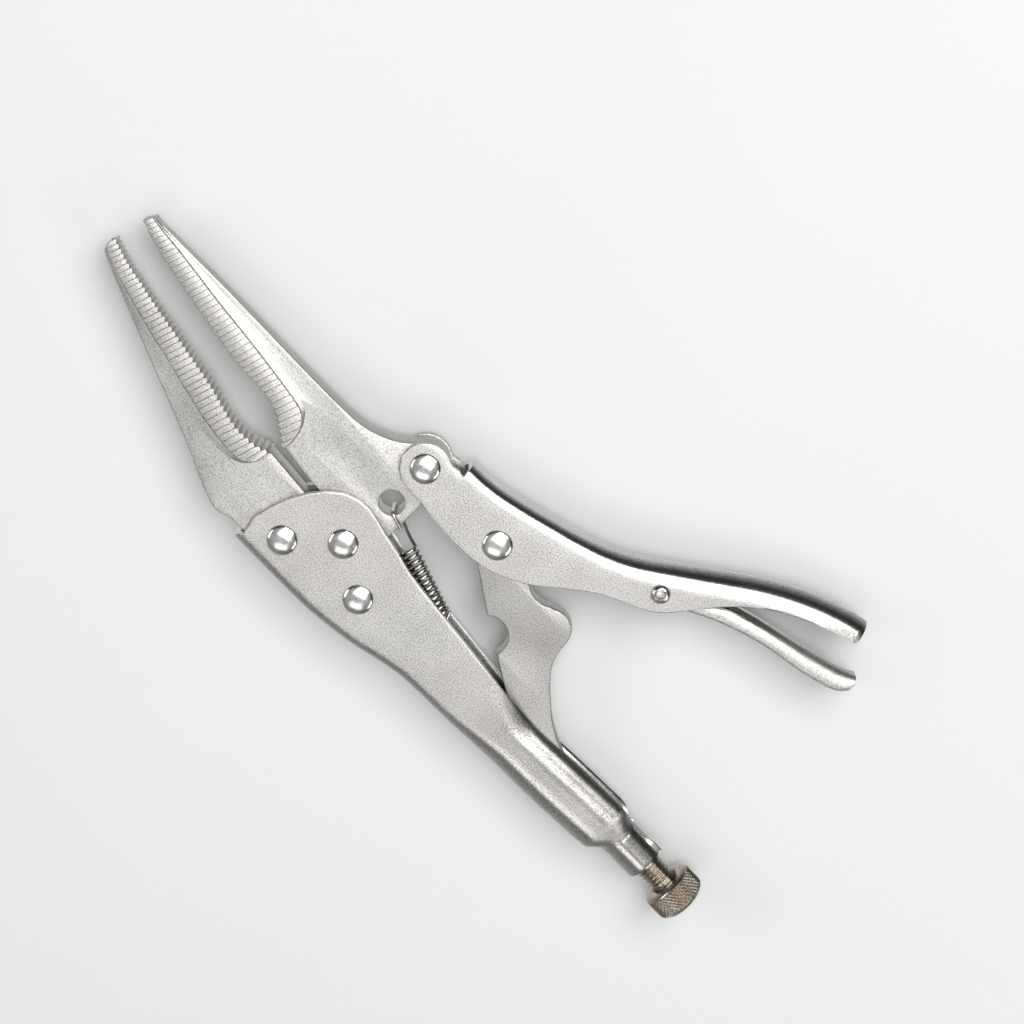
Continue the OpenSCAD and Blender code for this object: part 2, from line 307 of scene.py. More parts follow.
def channel(name, halves, first_web=0):
    """Joins half sections, mirrored about the mid-plane, into a pressed channel; no web before first_web."""
    n = len(halves[0])
    full = 2 * n - 1
    verts, polish = [], []

    def put(side):
        table = []
        for rows in halves:
            line = []
            for k in range(full):
                row = rows[abs(k - (n - 1))]
                sign = -1 if k < n - 1 else 1
                p, z = row[side]
                line.append(len(verts))
                verts.append((p[0], p[1], MID + sign * z))
                polish.append(row[2])
            table.append(line)
        return table

    outer, inner = put(0), put(1)
    faces = []

    def shown(i, k):
        return i >= first_web or abs(k - (n - 1)) >= FOLD and abs(k + 1 - (n - 1)) >= FOLD

    for i in range(len(halves) - 1):
        for k in range(full - 1):
            if shown(i, k):
                faces.append((outer[i][k], outer[i + 1][k], outer[i + 1][k + 1], outer[i][k + 1]))
                faces.append((inner[i][k], inner[i][k + 1], inner[i + 1][k + 1], inner[i + 1][k]))
        faces.append((outer[i][0], inner[i][0], inner[i + 1][0], outer[i + 1][0]))
        faces.append((outer[i][-1], outer[i + 1][-1], inner[i + 1][-1], inner[i][-1]))
        if i < first_web:
            for k in (n - 1 - FOLD, n - 1 + FOLD):
                faces.append((outer[i][k], inner[i][k], inner[i + 1][k], outer[i + 1][k]))
    for i in {0, first_web, len(halves) - 1}:
        for k in range(full - 1):
            web = abs(k - (n - 1)) < FOLD or abs(k + 1 - (n - 1)) < FOLD
            if i == first_web and first_web > 0 and not web or i == 0 and first_web > 0 and web:
                continue
            faces.append((outer[i][k], outer[i][k + 1], inner[i][k + 1], inner[i][k]))
    o = mesh_object(name, verts, faces, polish)
    used = bmesh.new()
    used.from_mesh(o.data)
    bmesh.ops.delete(used, geom=[v for v in used.verts if not v.link_faces], context="VERTS")
    bmesh.ops.recalc_face_normals(used, faces=used.faces)
    used.to_mesh(o.data)
    used.free()
    return o


# Fixed handle: a channel open towards the moving handle that rounds into a tube and a neck at the rear
NECK_END = span("fixed_handle", 0)[1]
NECK_R = 5.45
NECK_START = NECK_END - 9.9
NECK_BORE = 3.75
PRESSED_RIM = 0.22
back = [(-19.6, -18.7), (-17, -19), (2, -19), (9.4, -18.6), (15, -17.9), (20.8, -17), (26.5, -15.6),
        (32, -14.4), (39, -13.6), (60, -13.2), (80, -12.9), (92, -12.3), (99, -11.8), (102.6, -11.1),
        (104.4, -9.8), (NECK_START, SCREW_Y - NECK_R)]
front_edge = [(-19.85, -12.6), (-19.5, -10), (-18.9, -7), (-18.1, -4), (-16.7, -0.6), (-15.1, 2.5),
              (-12.5, 6.3), (-9.1, 9.2), (-5.3, 10.7), (-2, 11), (1.5, 10.3), (5.2, 9.4)]
front_web = [-19.6, -19, -18.3, -17.5, -16.5, -15.2, -13.4, -11.2, -8.6, -5.4, -1.8, 2]
open_points = [(5.2, 9.4), (11, 8.3), (19, 6.6), (40, 4.5), (56, 3), (68, 2.1), (85, 3), (95, 3.4),
               (100, 3.5), (103.4, 3), (NECK_START, SCREW_Y + NECK_R)]
back_line = np.array(curve(back, 10))
open_line = np.array(curve(open_points, 10))


def on(line, x):
    """The point of a line at x."""
    return np.array([x, np.interp(x, line[:, 0], line[:, 1])])


# Stations along the back, each paired with a point on the open edge
web_at = [on(back_line, x) for x in front_web] + [on(back_line, x) for x in np.arange(5, 97, 2.0)]
web_at += [on(back_line, x) for x in np.linspace(98, NECK_START, 12)]
web_at += [np.array([NECK_START + 0.7, back[-1][1]])]
last_web, last_edge = front_web[-1], front_edge[-1][0]
stretch = NECK_START - last_edge
edge_at = [np.array(e, float) for e in front_edge]
edge_at += [on(open_line, last_edge + (min(w[0], NECK_START) - last_web) * stretch / (NECK_START - last_web))
            for w in web_at[len(front_edge):]]
fixed_rows = []
for T, E, N in zip(web_at, edge_at, normals(web_at, 1)):
    rear = smooth(T[0], 46, 72)
    N = N * (1 - rear) + np.array([0, 1]) * rear
    N /= np.linalg.norm(N)
    rows = half_section(T, N, E, 3.2 + 2.5 * rear, HALF, SHEET, turn=58 * rear, curl=4.2 + 3.2 * rear)
    rows = [(outer, inner, max(fine * (0.45 + 0.55 * rear), 0.85 * rear, float(T[0] < -19.5)))
            for outer, inner, fine in rows]
    step = smooth(T[0], 98.5, 101) * (1 - smooth(T[0], NECK_START - 1, NECK_START))
    rows = [(outer, inner, fine * (1 - 0.8 * step)) for outer, inner, fine in rows]
    neck = smooth(T[0], 101, NECK_START - 0.3)
    inside = 0.6 if T[0] > NECK_START + 0.1 else 0.0
    if neck > 0:
        for side in (0, 1):
            pts = np.array([(row[side][0][1], row[side][1]) for row in rows])
            s = np.concatenate([[0], np.cumsum(np.linalg.norm(np.diff(pts, axis=0), axis=1))])
            s = s / s[-1]
            for k, row in enumerate(rows):
                a = math.radians(-90 + 178 * s[k])
                R = NECK_R - side * (SHEET - inside) - inside
                y, z = SCREW_Y + R * math.sin(a), R * math.cos(a)
                row = list(rows[k])
                row[side] = (np.array([T[0], pts[k][0] * (1 - neck) + y * neck]),
                             pts[k][1] * (1 - neck) + z * neck)
                row[2] = max(row[2], neck ** 4 * 0.8)
                rows[k] = tuple(row)
    fixed_rows.append(rows)
fixed_handle = bevel(channel("fixed_handle_shell", fixed_rows), PRESSED_RIM)


SEAM_AT = 0.64 * math.pi


def seam(r, h, a):
    """The seam of the rolled neck, with one edge of the sheet standing proud near the rear."""
    off = a - SEAM_AT
    proud = 0.75 * math.exp(-((off + 0.13) / 0.09) ** 2) * smooth(h, 4.5, 7)
    return r + (proud - 0.45 * (1 - smooth(abs(off), 0.02, 0.08)) if r > 4 else 0)


neck_len = NECK_END - NECK_START
neck_profile = [(3.9, 0.05), (NECK_R - 0.02, -0.05)]
neck_profile += [(NECK_R, h) for h in np.linspace(0.1, neck_len - 0.5, 14)]
neck_profile += [(NECK_R - 0.12, neck_len - 0.15), (NECK_R - 0.45, neck_len), (4.2, neck_len),
                 (NECK_BORE, neck_len - 0.4), (NECK_BORE, 0.3), (3.9, 0.05)]
neck = lathe("neck", neck_profile, (NECK_START, SCREW_Y, MID), axis="X", sides=128, wobble=seam)


def paint(o, value):
    a = o.data.attributes.get("polish") or o.data.attributes.new("polish", "FLOAT", "POINT")
    a.data.foreach_set("value", np.full(len(o.data.vertices), value, np.float32))
    return o


# The tab lanced out of the handle's own sheet, with the hole for the spring's rear hook
TAB_X = 45
TAB_HOLE = (TAB_X + 2, -9.6)
tab = plate("tab", [(TAB_X, -13), (TAB_X + 4, -13), (TAB_X + 4, -8.2), (TAB_X + 2.8, -7.5),
                    (TAB_X + 1.2, -7.5), (TAB_X, -8.2)], 1.5, 0.2, [(TAB_HOLE, 1.0)])
fixed_handle = shade(join(fixed_handle, paint(neck, 1.0), paint(tab, 0.3)))


# Jaws: a tapered plate with a toothed and ribbed gripping pad standing proud on both sides
THROAT, TIP = -28, span("fixed_jaw", 0)[0]
PAD_TIP, PAD_THROAT, WEB_THROAT, WEB_TIP = 2.65, 4.7, 3.9, 1.85


def from_tip(x):
    return min(max((x - TIP) / (THROAT - TIP), 0), 1)


def pad_half(x):
    return PAD_TIP + (PAD_THROAT - PAD_TIP) * from_tip(x)


def web_half(x):
    return pad_half(x) * WEB_THROAT / PAD_THROAT * (0.92 + 0.08 * from_tip(x))


# One tooth along the grip line: share of the pitch, height of the tooth, groove between the ribs
TOOTH = ((0, 0, 1), (0.07, 0.3, 0), (0.3, 1, 0), (0.6, 0.6, 0), (0.93, 0.1, 0))


def pad(name, rungs, tooth, step):
    """A gripping pad lofted along its rungs: a point on the grip line, one on the pad's outer line, and
    the width of the slope beyond it that falls to the plate after a small step."""
    g = np.array(curve([r[0] for r in rungs], 12))
    b = np.array(curve([r[1] for r in rungs], 12))
    wide = np.array(curve([(r[2], 0) for r in rungs], 12))[:, 0]
    s = np.concatenate([[0], np.cumsum(np.linalg.norm(np.diff(g, axis=0), axis=1))])
    stations, at = [], 0.0
    while at < s[-1]:
        pitch = 1.28 + 0.45 * at / s[-1]
        for f, up, groove in TOOTH:
            if at + f * pitch < s[-1]:
                stations.append((at + f * pitch, up * tooth * (0.7 + 0.6 * at / s[-1]), groove))
        at += pitch
    stations.append((s[-1], 0, 0))
    verts, rings = [], []
    for v, up, groove in stations:
        G = np.array([np.interp(v, s, g[:, 0]), np.interp(v, s, g[:, 1])])
        B = np.array([np.interp(v, s, b[:, 0]), np.interp(v, s, b[:, 1])])
        d = (B - G) / np.linalg.norm(B - G)
        slope = max(np.interp(v, s, wide), 0.7)
        h, low = pad_half(G[0]), web_half(B[0]) - 0.12
        G = G - d * (up - tooth * 0.5)
        dz = -0.11 * groove
        half = [(B + d * slope, low), (B + d * (0.2 + slope * 0.45), low + (h - low) * 0.35),
                (B + d * 0.36, h - step * 0.75), (B + d * 0.18, h - step), (B - d * 0.04, h - 0.05 + dz),
                (B - d * 0.2, h + dz), (G + d * 0.5, h + dz), (G + d * 0.18, h - 0.1 + dz),
                (G + d * 0.04, h - 0.3), (G, h - 0.55)]
        ring = half + [(p, -z) for p, z in reversed(half)]
        rings.append(list(range(len(verts), len(verts) + len(ring))))
        verts += [(p[0], p[1], MID + z) for p, z in ring]
    faces = [rings[0], rings[-1][::-1]]
    for a, c in zip(rings, rings[1:]):
        for k in range(len(a)):
            j = (k + 1) % len(a)
            faces.append((a[k], c[k], c[j], a[j]))
    return tidy(mesh_object(name, verts, faces))


fixed_back = curve([(TIP + 0.05, 9.6), (-91.4, 7.8), (-89.6, 6.6), (-83.2, 3.9), (-74.4, 0.5), (-65.8, -2.8),
                    (-54.7, -7), (-48.5, -9.4), (-41.3, -12.3), (-37.7, -14), (-33.5, -15.8), (-29.9, -17.1),
                    (-28.2, -17.5), (-26.4, -17.5), (-24.4, -16.8), (-22.8, -16.4)])
fixed_web = [(TIP + 0.1, 10.6)] + fixed_back + [(0, -16.3)]
fixed_web += arc((12.9, -7.2), 5.8, -90, 110, 10) + arc(JAW, 8.7, 300, 168, 16)
fixed_web += [(-15.9, 1.7), (-28.2, 2.6), (-33, -0.2), (-38, -0.4), (-45.6, 0.8), (-60, 4.2), (-84, 8.6)]
fixed_rungs = [((-91.5, 11.75), (-91.75, 9.3), 0.3), ((-89.6, 11.1), (-90.55, 7.9), 0.5),
               ((-84.9, 9.7), (-85.9, 6.15), 0.9), ((-79, 8.6), (-80, 4.6), 1.4),
               ((-74, 7.6), (-75.1, 3.3), 2), ((-69.3, 6.8), (-70.5, 2.2), 2.6),
               ((-64.3, 6), (-65.6, 1.1), 3), ((-58.9, 5), (-60.2, -0.1), 3.2),
               ((-53.8, 4.2), (-55.2, -1.3), 3.4), ((-50.1, 3.5), (-51.6, -2.1), 3.4),
               ((-45.6, 2.3), (-47, -3.1), 3.2), ((-41.2, 1.2), (-42.5, -3.8), 3),
               ((-37.6, 0.8), (-38.9, -4.2), 2.6), ((-33.6, 1), (-34.9, -4.4), 2),
               ((-31.6, 1.4), (-32.9, -4.2), 1.4), ((-30.6, 1.8), (-31.5, -3.7), 1),
               ((-29.6, 2.2), (-30.2, -2.6), 0.7), ((-28.9, 2.5), (-29.2, -0.9), 0.5),
               ((-28.3, 2.9), (-28.5, 1.5), 0.4)]
web = plate("fixed_jaw_web", fixed_web, WEB_THROAT, 0.45)
fixed_jaw = unite(taper(web, THROAT, TIP, WEB_TIP / WEB_THROAT), pad("pad", fixed_rungs, 0.66, 0.62))

moving_web = curve([(-88.4, 21.9), (-84, 22.1), (-60, 22.7), (-38, 22.9), (-32.3, 23), (-24.8, 23.2),
                    (-18.8, 23.7), (-13.8, 25.2), (-9.6, 27.4), (-6.4, 30.2)])
moving_web += arc(HANDLE, 6.1, 158, -40, 18) + [(6.1, 21), (6.6, 10)]
moving_web += arc(JAW, 8, 20, -210, 30)
moving_web += [(-14, 4.5), (-21, 5.1), (-27.4, 5.9), (-29, 9.5), (-33.6, 12.2), (-48, 13.2), (-84, 18.8),
               (-89.6, 20)]
moving_rungs = [((-90.2, 19.4), (-88.9, 21.7), 0.25), ((-88.4, 18.85), (-87.4, 21.4), 0.5),
                ((-85.8, 18), (-84.7, 21.1), 0.8), ((-78.4, 16.4), (-77.2, 20.5), 1.3),
                ((-69.9, 14.9), (-68.6, 19.5), 1.9), ((-62.9, 13.8), (-61.6, 18.8), 2.2),
                ((-55.6, 12.7), (-54.3, 18.2), 2.4), ((-48.7, 11.9), (-47.3, 17.5), 2.4),
                ((-42.3, 11.9), (-41.1, 16.8), 2.2), ((-37.6, 11.3), (-36.3, 16.2), 1.9),
                ((-34.2, 10), (-32.7, 15.6), 1.5), ((-32.4, 9), (-30.7, 14.9), 1.2),
                ((-31.2, 8.3), (-29.5, 14), 0.9), ((-29.8, 7.4), (-28.3, 12.4), 0.7),
                ((-28.6, 6.5), (-27.5, 10.2), 0.5), ((-27.9, 5.8), (-27.1, 7.9), 0.4),
                ((-27.6, 5.5), (-27.2, 6.3), 0.4)]
SPRING_HOLE = ((0.7, 15.6), 3.2)
web = plate("moving_jaw_web", moving_web, WEB_THROAT, 0.4, [SPRING_HOLE])
moving_jaw = unite(taper(web, THROAT, TIP, WEB_TIP / WEB_THROAT), pad("pad", moving_rungs, 0.45, 0.5))
for jaw in (fixed_jaw, moving_jaw):
    shade(jaw, 24)


# Moving handle: a pressed channel with two ears, a lip, a long fold and a flared tail
web_line = resample(curve([(7.3, 36.8), (10, 36.9), (15, 37.4), (22.3, 39), (29.4, 41), (38.6, 43.8),
                           (47.1, 47.2), (54, 51.2), (62, 57.3), (70.4, 63.8), (77.2, 68.9),
                           (84.2, 73.4), (92.1, 77.4), (100, 80.4), (104.6, 81.5)]), 64)
wall_line = resample(curve([(4.9, 21.5), (11.5, 20.6), (18.4, 20.5), (25.1, 21), (31.1, 22.5), (38.9, 26.8),
                            (45, 32), (51.5, 37.3), (58, 40.9), (63, 43.3), (67.2, 46.8), (71, 52),
                            (78.1, 61.2), (83, 66), (87.3, 69.3), (93.3, 72.6), (98.5, 75.4),
                            (102.6, 78.2)]), 64)
EAR_R, EAR_FOLD = 6.4, 3.4
ear_top = [np.array([5.7, 33.75]), np.array([4, 33.3])] + arc(HANDLE, EAR_R, 62, 176, 11)
ear_low = [np.array([3.3, 21.3]), np.array([1.6, 21.35])] + arc(HANDLE, EAR_R, -82, -176, 11)
handle_rows = []
for T, E, N in zip(web_line, wall_line, normals(web_line, -1)):
    r = EAR_FOLD + 2.2 * smooth(T[0], 30, 76)
    narrow = HALF - 0.4 * smooth(T[0], 94, 105)
    handle_rows.append(half_section(T, N, E, r, narrow, SHEET, turn=38 * smooth(T[0], 70, 90), curl=3.4))
ear_rows = []
for W, E in zip(ear_top, ear_low):
    down = (E - W) / np.linalg.norm(E - W)
    ear_rows.append(half_section(W - down * EAR_FOLD, down, E, EAR_FOLD, HALF, SHEET))
moving_handle = channel("moving_handle_shell", ear_rows[::-1] + handle_rows, first_web=len(ear_rows))
moving_handle = bevel(moving_handle, PRESSED_RIM)
bore = lathe("bore", [(0, -1), (1.9, -1), (1.9, Z_HIGH + 2), (0, Z_HIGH + 2)], (*LEVER, 0), sides=48)
moving_handle = shade(combine(moving_handle, bore, "DIFFERENCE"))


# Release lever: a narrow channel nested in the moving handle, folded on its upper side
lever_web = resample(curve([(57.5, 48.6), (61, 52.6), (66, 54.6), (71, 56.4), (78, 59.6), (86, 62.2),
                            (96, 64.7), (105, 67.2), (110, 68.9), (113.2, 70.4)]), 44)
lever_rim = resample(curve([(53.2, 41.2), (58.4, 44.4), (64.4, 46.2), (71, 50.6), (77.8, 54.2), (86, 57.4),
                            (93, 59.3), (101.3, 60.9), (108.6, 62.9), (112.4, 64.6), (114.3, 66.9)]), 44)
LEVER_HALF, LEVER_SHEET = 3.75, 1.3
lever_rows = []
for T, E, N in zip(lever_web, lever_rim, normals(lever_web, -1)):
    rear = smooth(T[0], 78, 98)
    room = np.linalg.norm(E - T)
    r = min(3.3, room - 1.7)
    rows = half_section(T, N, E, r, LEVER_HALF, LEVER_SHEET, turn=12 + 14 * rear, curl=2.4,
                        deep=r + rear * max(0, min(3, room - 1.5 - r)))
    lever_rows.append([(outer, inner, fine * (1 - 0.9 * rear)) for outer, inner, fine in rows])
release_lever = shade(bevel(channel("release_lever_shell", lever_rows), 0.13))


# Toggle link
SEAT_R = 3.4
seat = (span("toggle_link", 0)[1] - SEAT_R, SCREW_Y)
link_outline = arc(LINK, 6, 60, 238, 16) + [(38.2, 13)] + arc((42.3, 9), 5.5, 134, -14, 12)
link_outline += curve([(47.8, 7.6), (51.4, 5.4), (60, 0.8), (70, -3.2), (82, -5.6)])
link_outline += arc(seat, SEAT_R, 230, 410, 14)
link_outline += curve([(88, -0.6), (80, 1.4), (71.7, 5.1), (66.3, 9), (62.1, 12.6), (59.5, 15.5),
                       (57.8, 19.2), (57, 23.3), (55.6, 25.8), (53.7, 27), (51.1, 27.2), (48.4, 26.3),
                       (45.3, 24.9), (41.5, 25.1), (36, 28.4), (30.6, 31.6)])
toggle_link = shade(plate("toggle_link_plate", link_outline, 2.8, 0.35), 30)


# Tension spring: front hook through the jaw's hole, coil, rear hook through the tab
def sweep(name, path, radius, sides=10):
    """A round wire along a path."""
    p = [np.array(q, float) for q in path]
    verts, rings = [], []
    up = np.array([0.3, 0.2, 1])
    for i in range(len(p)):
        t = p[min(i + 1, len(p) - 1)] - p[max(i - 1, 0)]
        t /= np.linalg.norm(t)
        u = np.cross(t, up)
        if np.linalg.norm(u) < 0.3:
            u = np.cross(t, [1, 0, 0])
        u /= np.linalg.norm(u)
        v = np.cross(t, u)
        rings.append(list(range(len(verts), len(verts) + sides)))
        for k in range(sides):
            a = 2 * math.pi * k / sides
            verts.append(p[i] + radius * (u * math.cos(a) + v * math.sin(a)))
    faces = [rings[0][::-1], rings[-1]]
    for a, b in zip(rings, rings[1:]):
        for k in range(sides):
            j = (k + 1) % sides
            faces.append((a[k], a[j], b[j], b[k]))
    return tidy(mesh_object(name, verts, faces), 0.0001)


WEB_Z = WEB_THROAT
WIRE_R = 0.45
COIL_START, COIL_TURN = np.array([12.9, 9.5]), math.radians(-17)
COIL_R, COIL_PITCH, TURNS = 2.05, 1.5, 13
hook_front = [(7, 12.9, WEB_Z + 0.7), (5.2, 13.4, WEB_Z + 0.8), (3.6, 13.85, WEB_Z + 0.85),
              (2.9, 14.05, WEB_Z + 0.6), (2.7, 14.15, WEB_Z - 0.4), (2.7, 14.15, 0),
              (2.7, 14.15, 0.4 - WEB_Z), (2.9, 14.05, -WEB_Z - 0.6), (3.6, 13.85, -WEB_Z - 0.85),
              (5.2, 13.4, -WEB_Z - 0.8), (7.6, 12.7, -WEB_Z), (10, 12, 1.6 - WEB_Z),
              (11.8, 11.7, 3.2 - WEB_Z)]
hook_rear = [(33.4, 2.6, 1.8), (36.5, -0.6, 2.2), (42, -6.2, 2.3), (45.4, -9, 2.5), (46.6, -9.5, 2.3),
             (*TAB_HOLE, 1.3), (*TAB_HOLE, -1.3), (46.6, -9.5, -2.3), (45.4, -9, -2.5),
             (43.4, -7.2, -2.3)]
path = curve(hook_front, 5)
for i in range(0, 360 * TURNS + 1, 15):
    x = COIL_PITCH * i / 360
    y, z = COIL_R * math.cos(math.radians(i)), COIL_R * math.sin(math.radians(i))
    path.append(np.array([COIL_START[0] + x * math.cos(COIL_TURN) - y * math.sin(COIL_TURN),
                          COIL_START[1] + x * math.sin(COIL_TURN) + y * math.cos(COIL_TURN), z]))
path += curve(hook_rear, 5)
path = [q + np.array([0, 0, MID]) for q in path]
tension_spring = shade(sweep("tension_spring_wire", path, WIRE_R), 60)


# Screw and knob
SCREW_X0 = span("adjusting_screw", 0)[0]
KNOB_X0, KNOB_X1 = span("knurled_knob", 0)
PITCH, THREAD_R, THREAD_DEPTH = 1.2, 3.65, 0.62
length = KNOB_X0 - SCREW_X0


def thread(r, h, a):
    """A helical thread that fades out at the tip and at the plain collar before the knob."""
    if r < 3.2:
        return r
    lead = (h / PITCH - a / (2 * math.pi)) % 1
    cut = smooth(h, 0.2, 1.2) * (1 - smooth(h, length - 1.7, length - 1.2))
    return r - THREAD_DEPTH * min(1, max(0, abs(lead - 0.5) * 2.5 - 0.2)) * cut


screw_profile = [(0, 0), (2.5, 0), (3, 0.5)]
screw_profile += [(THREAD_R, h) for h in np.arange(0.9, length + 0.4, PITCH / 10)] + [(0, length + 0.4)]
rod = lathe("adjusting_screw_rod", screw_profile, (SCREW_X0, SCREW_Y, MID), "X", 56, thread)
adjusting_screw = shade(rod, 50)

KNOB_R = (span("knurled_knob", 1)[1] - span("knurled_knob", 1)[0]) / 2
knob_len = KNOB_X1 - KNOB_X0
DIAMONDS, LEAD, KNURL_DEPTH = 42, 1.3, 0.5


def knurl(r, h, a):
    """Two crossing sets of grooves round the rim."""
    if r < KNOB_R - 0.01 or not 0.9 < h < knob_len - 1.1:
        return r
    one = (a * DIAMONDS / (2 * math.pi) + h / LEAD) % 1
    two = (a * DIAMONDS / (2 * math.pi) - h / LEAD) % 1
    groove = max(abs(one - 0.5) * 2, abs(two - 0.5) * 2)
    return r - KNURL_DEPTH * groove


knob_profile = [(0, 0.5), (3.8, 0.5), (3.95, 0.08), (4.3, 0), (KNOB_R - 1, 0), (KNOB_R - 0.35, 0.45),
                (KNOB_R - 0.12, 0.9)]
knob_profile += [(KNOB_R, h) for h in np.arange(0.95, knob_len - 1.12, LEAD / 8)]
knob_profile += [(KNOB_R - 0.15, knob_len - 1.05), (KNOB_R - 0.6, knob_len - 0.5),
                 (KNOB_R - 1.3, knob_len), (KNOB_R - 1.5, knob_len), (2.4, knob_len), (2.2, knob_len),
                 (1.8, knob_len - 0.25), (0, knob_len - 0.25)]
grip = lathe("knurled_knob_body", knob_profile, (KNOB_X0, SCREW_Y, MID), "X", DIAMONDS * 8, knurl)
knurled_knob = shade(grip, 40)


# Rivets: a domed head above, a peened head below
TOP = span("jaw_pivot_rivet", 2)[1]
SHANK_R = 1.85


def rivet(name, node, hole=0.0):
    """A rivet at its node's place, with the head as wide as the node's; a hole makes it tubular."""
    r = (span(node, 0)[1] - span(node, 0)[0]) / 2
    under = [(0, 0), (r - 0.9, 0), (r - 0.35, 0.2), (r - 0.15, 0.55), (r - 0.2, Z_LOW - 0.02),
             (SHANK_R, Z_LOW)]
    if hole > 0:
        above = [(r, Z_HIGH + 0.3), (r - 0.15, Z_HIGH + 0.7), (r - 0.6, TOP - 0.12), (r - 1, TOP),
                 (hole + 0.5, TOP - 0.1), (hole + 0.15, TOP - 0.45), (hole, TOP - 1), (hole, Z_LOW + 0.6),
                 (0, Z_LOW + 0.6)]
    else:
        rise = TOP - Z_HIGH - 0.2
        above = [(r * math.cos(math.radians(a)), Z_HIGH + 0.2 + rise * math.sin(math.radians(a)) ** 1.15)
                 for a in range(0, 90, 7)] + [(0, TOP)]
    profile = under + [(SHANK_R, Z_HIGH - 0.01), (r - 0.1, Z_HIGH + 0.02)] + above
    return shade(lathe(name, profile, (*middle(node), 0)), 50)


# Each rivet's piece, node and body, and the radius of its hole
rivets = [(rivet(name, node, hole), node, body) for name, node, body, hole in (
    ("jaw_pivot_rivet_dome", "jaw_pivot_rivet", "fixed_handle", 0),
    ("front_rivet_dome", "fixed_jaw_rivet_front", "fixed_handle", 0),
    ("rear_rivet_dome", "fixed_jaw_rivet_rear", "fixed_handle", 0),
    ("handle_pivot_rivet_dome", "handle_pivot_rivet", "moving_handle", 0),
    ("link_pivot_rivet_dome", "link_pivot_rivet", "moving_handle", 0),
    ("lever_pivot_eyelet", "lever_pivot_rivet", "moving_handle", 1.05))]


# Finishes
def ramp_stops(node, *stops):
    for element, (place, colour) in zip(node.color_ramp.elements, stops):
        element.position, element.color = place, (*colour, 1)


def map_to(node, low, high):
    node.inputs["To Min"].default_value, node.inputs["To Max"].default_value = low, high


# Texture scales are in cells a metre, and the bump's height is in metres
CLOUD_SCALE, GRAIN_HEIGHT, POLISHED_BUMP = 90, 0.00006, 0.12
FACTOR, MIX_A, MIX_B, COLOUR_A, COLOUR_B, COLOUR_OUT = 0, 2, 3, 6, 7, 2


def finish_metal(name, dark, light, rough, grain, bump, polished=None, wear=0.3):
    """Plated steel: a fine grain in colour, roughness and height, smoother where polish is high."""
    m = bpy.data.materials.new(name)
    m.use_nodes = True
    nt = m.node_tree
    nt.nodes.clear()
    new, link = nt.nodes.new, nt.links.new
    out, bsdf = new("ShaderNodeOutputMaterial"), new("ShaderNodeBsdfPrincipled")
    link(bsdf.outputs["BSDF"], out.inputs["Surface"])
    bsdf.inputs["Metallic"].default_value = 1
    coord = new("ShaderNodeTexCoord")
    noise = new("ShaderNodeTexNoise")
    noise.inputs["Scale"].default_value = grain
    noise.inputs["Detail"].default_value = 3
    noise.inputs["Roughness"].default_value = 0.6
    link(coord.outputs["Object"], noise.inputs["Vector"])
    cloud = new("ShaderNodeTexNoise")
    cloud.inputs["Scale"].default_value = CLOUD_SCALE
    cloud.inputs["Detail"].default_value = 4
    link(coord.outputs["Object"], cloud.inputs["Vector"])
    ramp = new("ShaderNodeValToRGB")
    ramp_stops(ramp, (0.3, dark), (0.56, light))
    link(noise.outputs["Fac"], ramp.inputs["Fac"])
    tone = new("ShaderNodeMix")
    tone.data_type, tone.blend_type = "RGBA", "MULTIPLY"
    tone.inputs[FACTOR].default_value = wear
    link(ramp.outputs["Color"], tone.inputs[COLOUR_A])
    shadow = new("ShaderNodeValToRGB")
    ramp_stops(shadow, (0.3, (0.6, 0.59, 0.57)), (0.65, (1, 1, 1)))
    link(cloud.outputs["Fac"], shadow.inputs["Fac"])
    link(shadow.outputs["Color"], tone.inputs[COLOUR_B])
    link(tone.outputs[COLOUR_OUT], bsdf.inputs["Base Color"])
    rmap = new("ShaderNodeMapRange")
    map_to(rmap, rough - 0.07, rough + 0.09)
    link(noise.outputs["Fac"], rmap.inputs["Value"])
    bmp = new("ShaderNodeBump")
    bmp.inputs["Distance"].default_value = GRAIN_HEIGHT
    link(noise.outputs["Fac"], bmp.inputs["Height"])
    link(bmp.outputs["Normal"], bsdf.inputs["Normal"])
    if polished is None:
        bmp.inputs["Strength"].default_value = bump
        link(rmap.outputs["Result"], bsdf.inputs["Roughness"])
    else:
        attr = new("ShaderNodeAttribute")
        attr.attribute_name = "polish"
        fine = new("ShaderNodeMapRange")
        map_to(fine, polished - 0.03, polished + 0.06)
        link(cloud.outputs["Fac"], fine.inputs["Value"])
        mix = new("ShaderNodeMix")
        link(attr.outputs["Fac"], mix.inputs[FACTOR])
        link(rmap.outputs["Result"], mix.inputs[MIX_A])
        link(fine.outputs["Result"], mix.inputs[MIX_B])
        link(mix.outputs[0], bsdf.inputs["Roughness"])
        less = new("ShaderNodeMapRange")
        map_to(less, bump, bump * POLISHED_BUMP)
        link(attr.outputs["Fac"], less.inputs["Value"])
        link(less.outputs["Result"], bmp.inputs["Strength"])
    return m


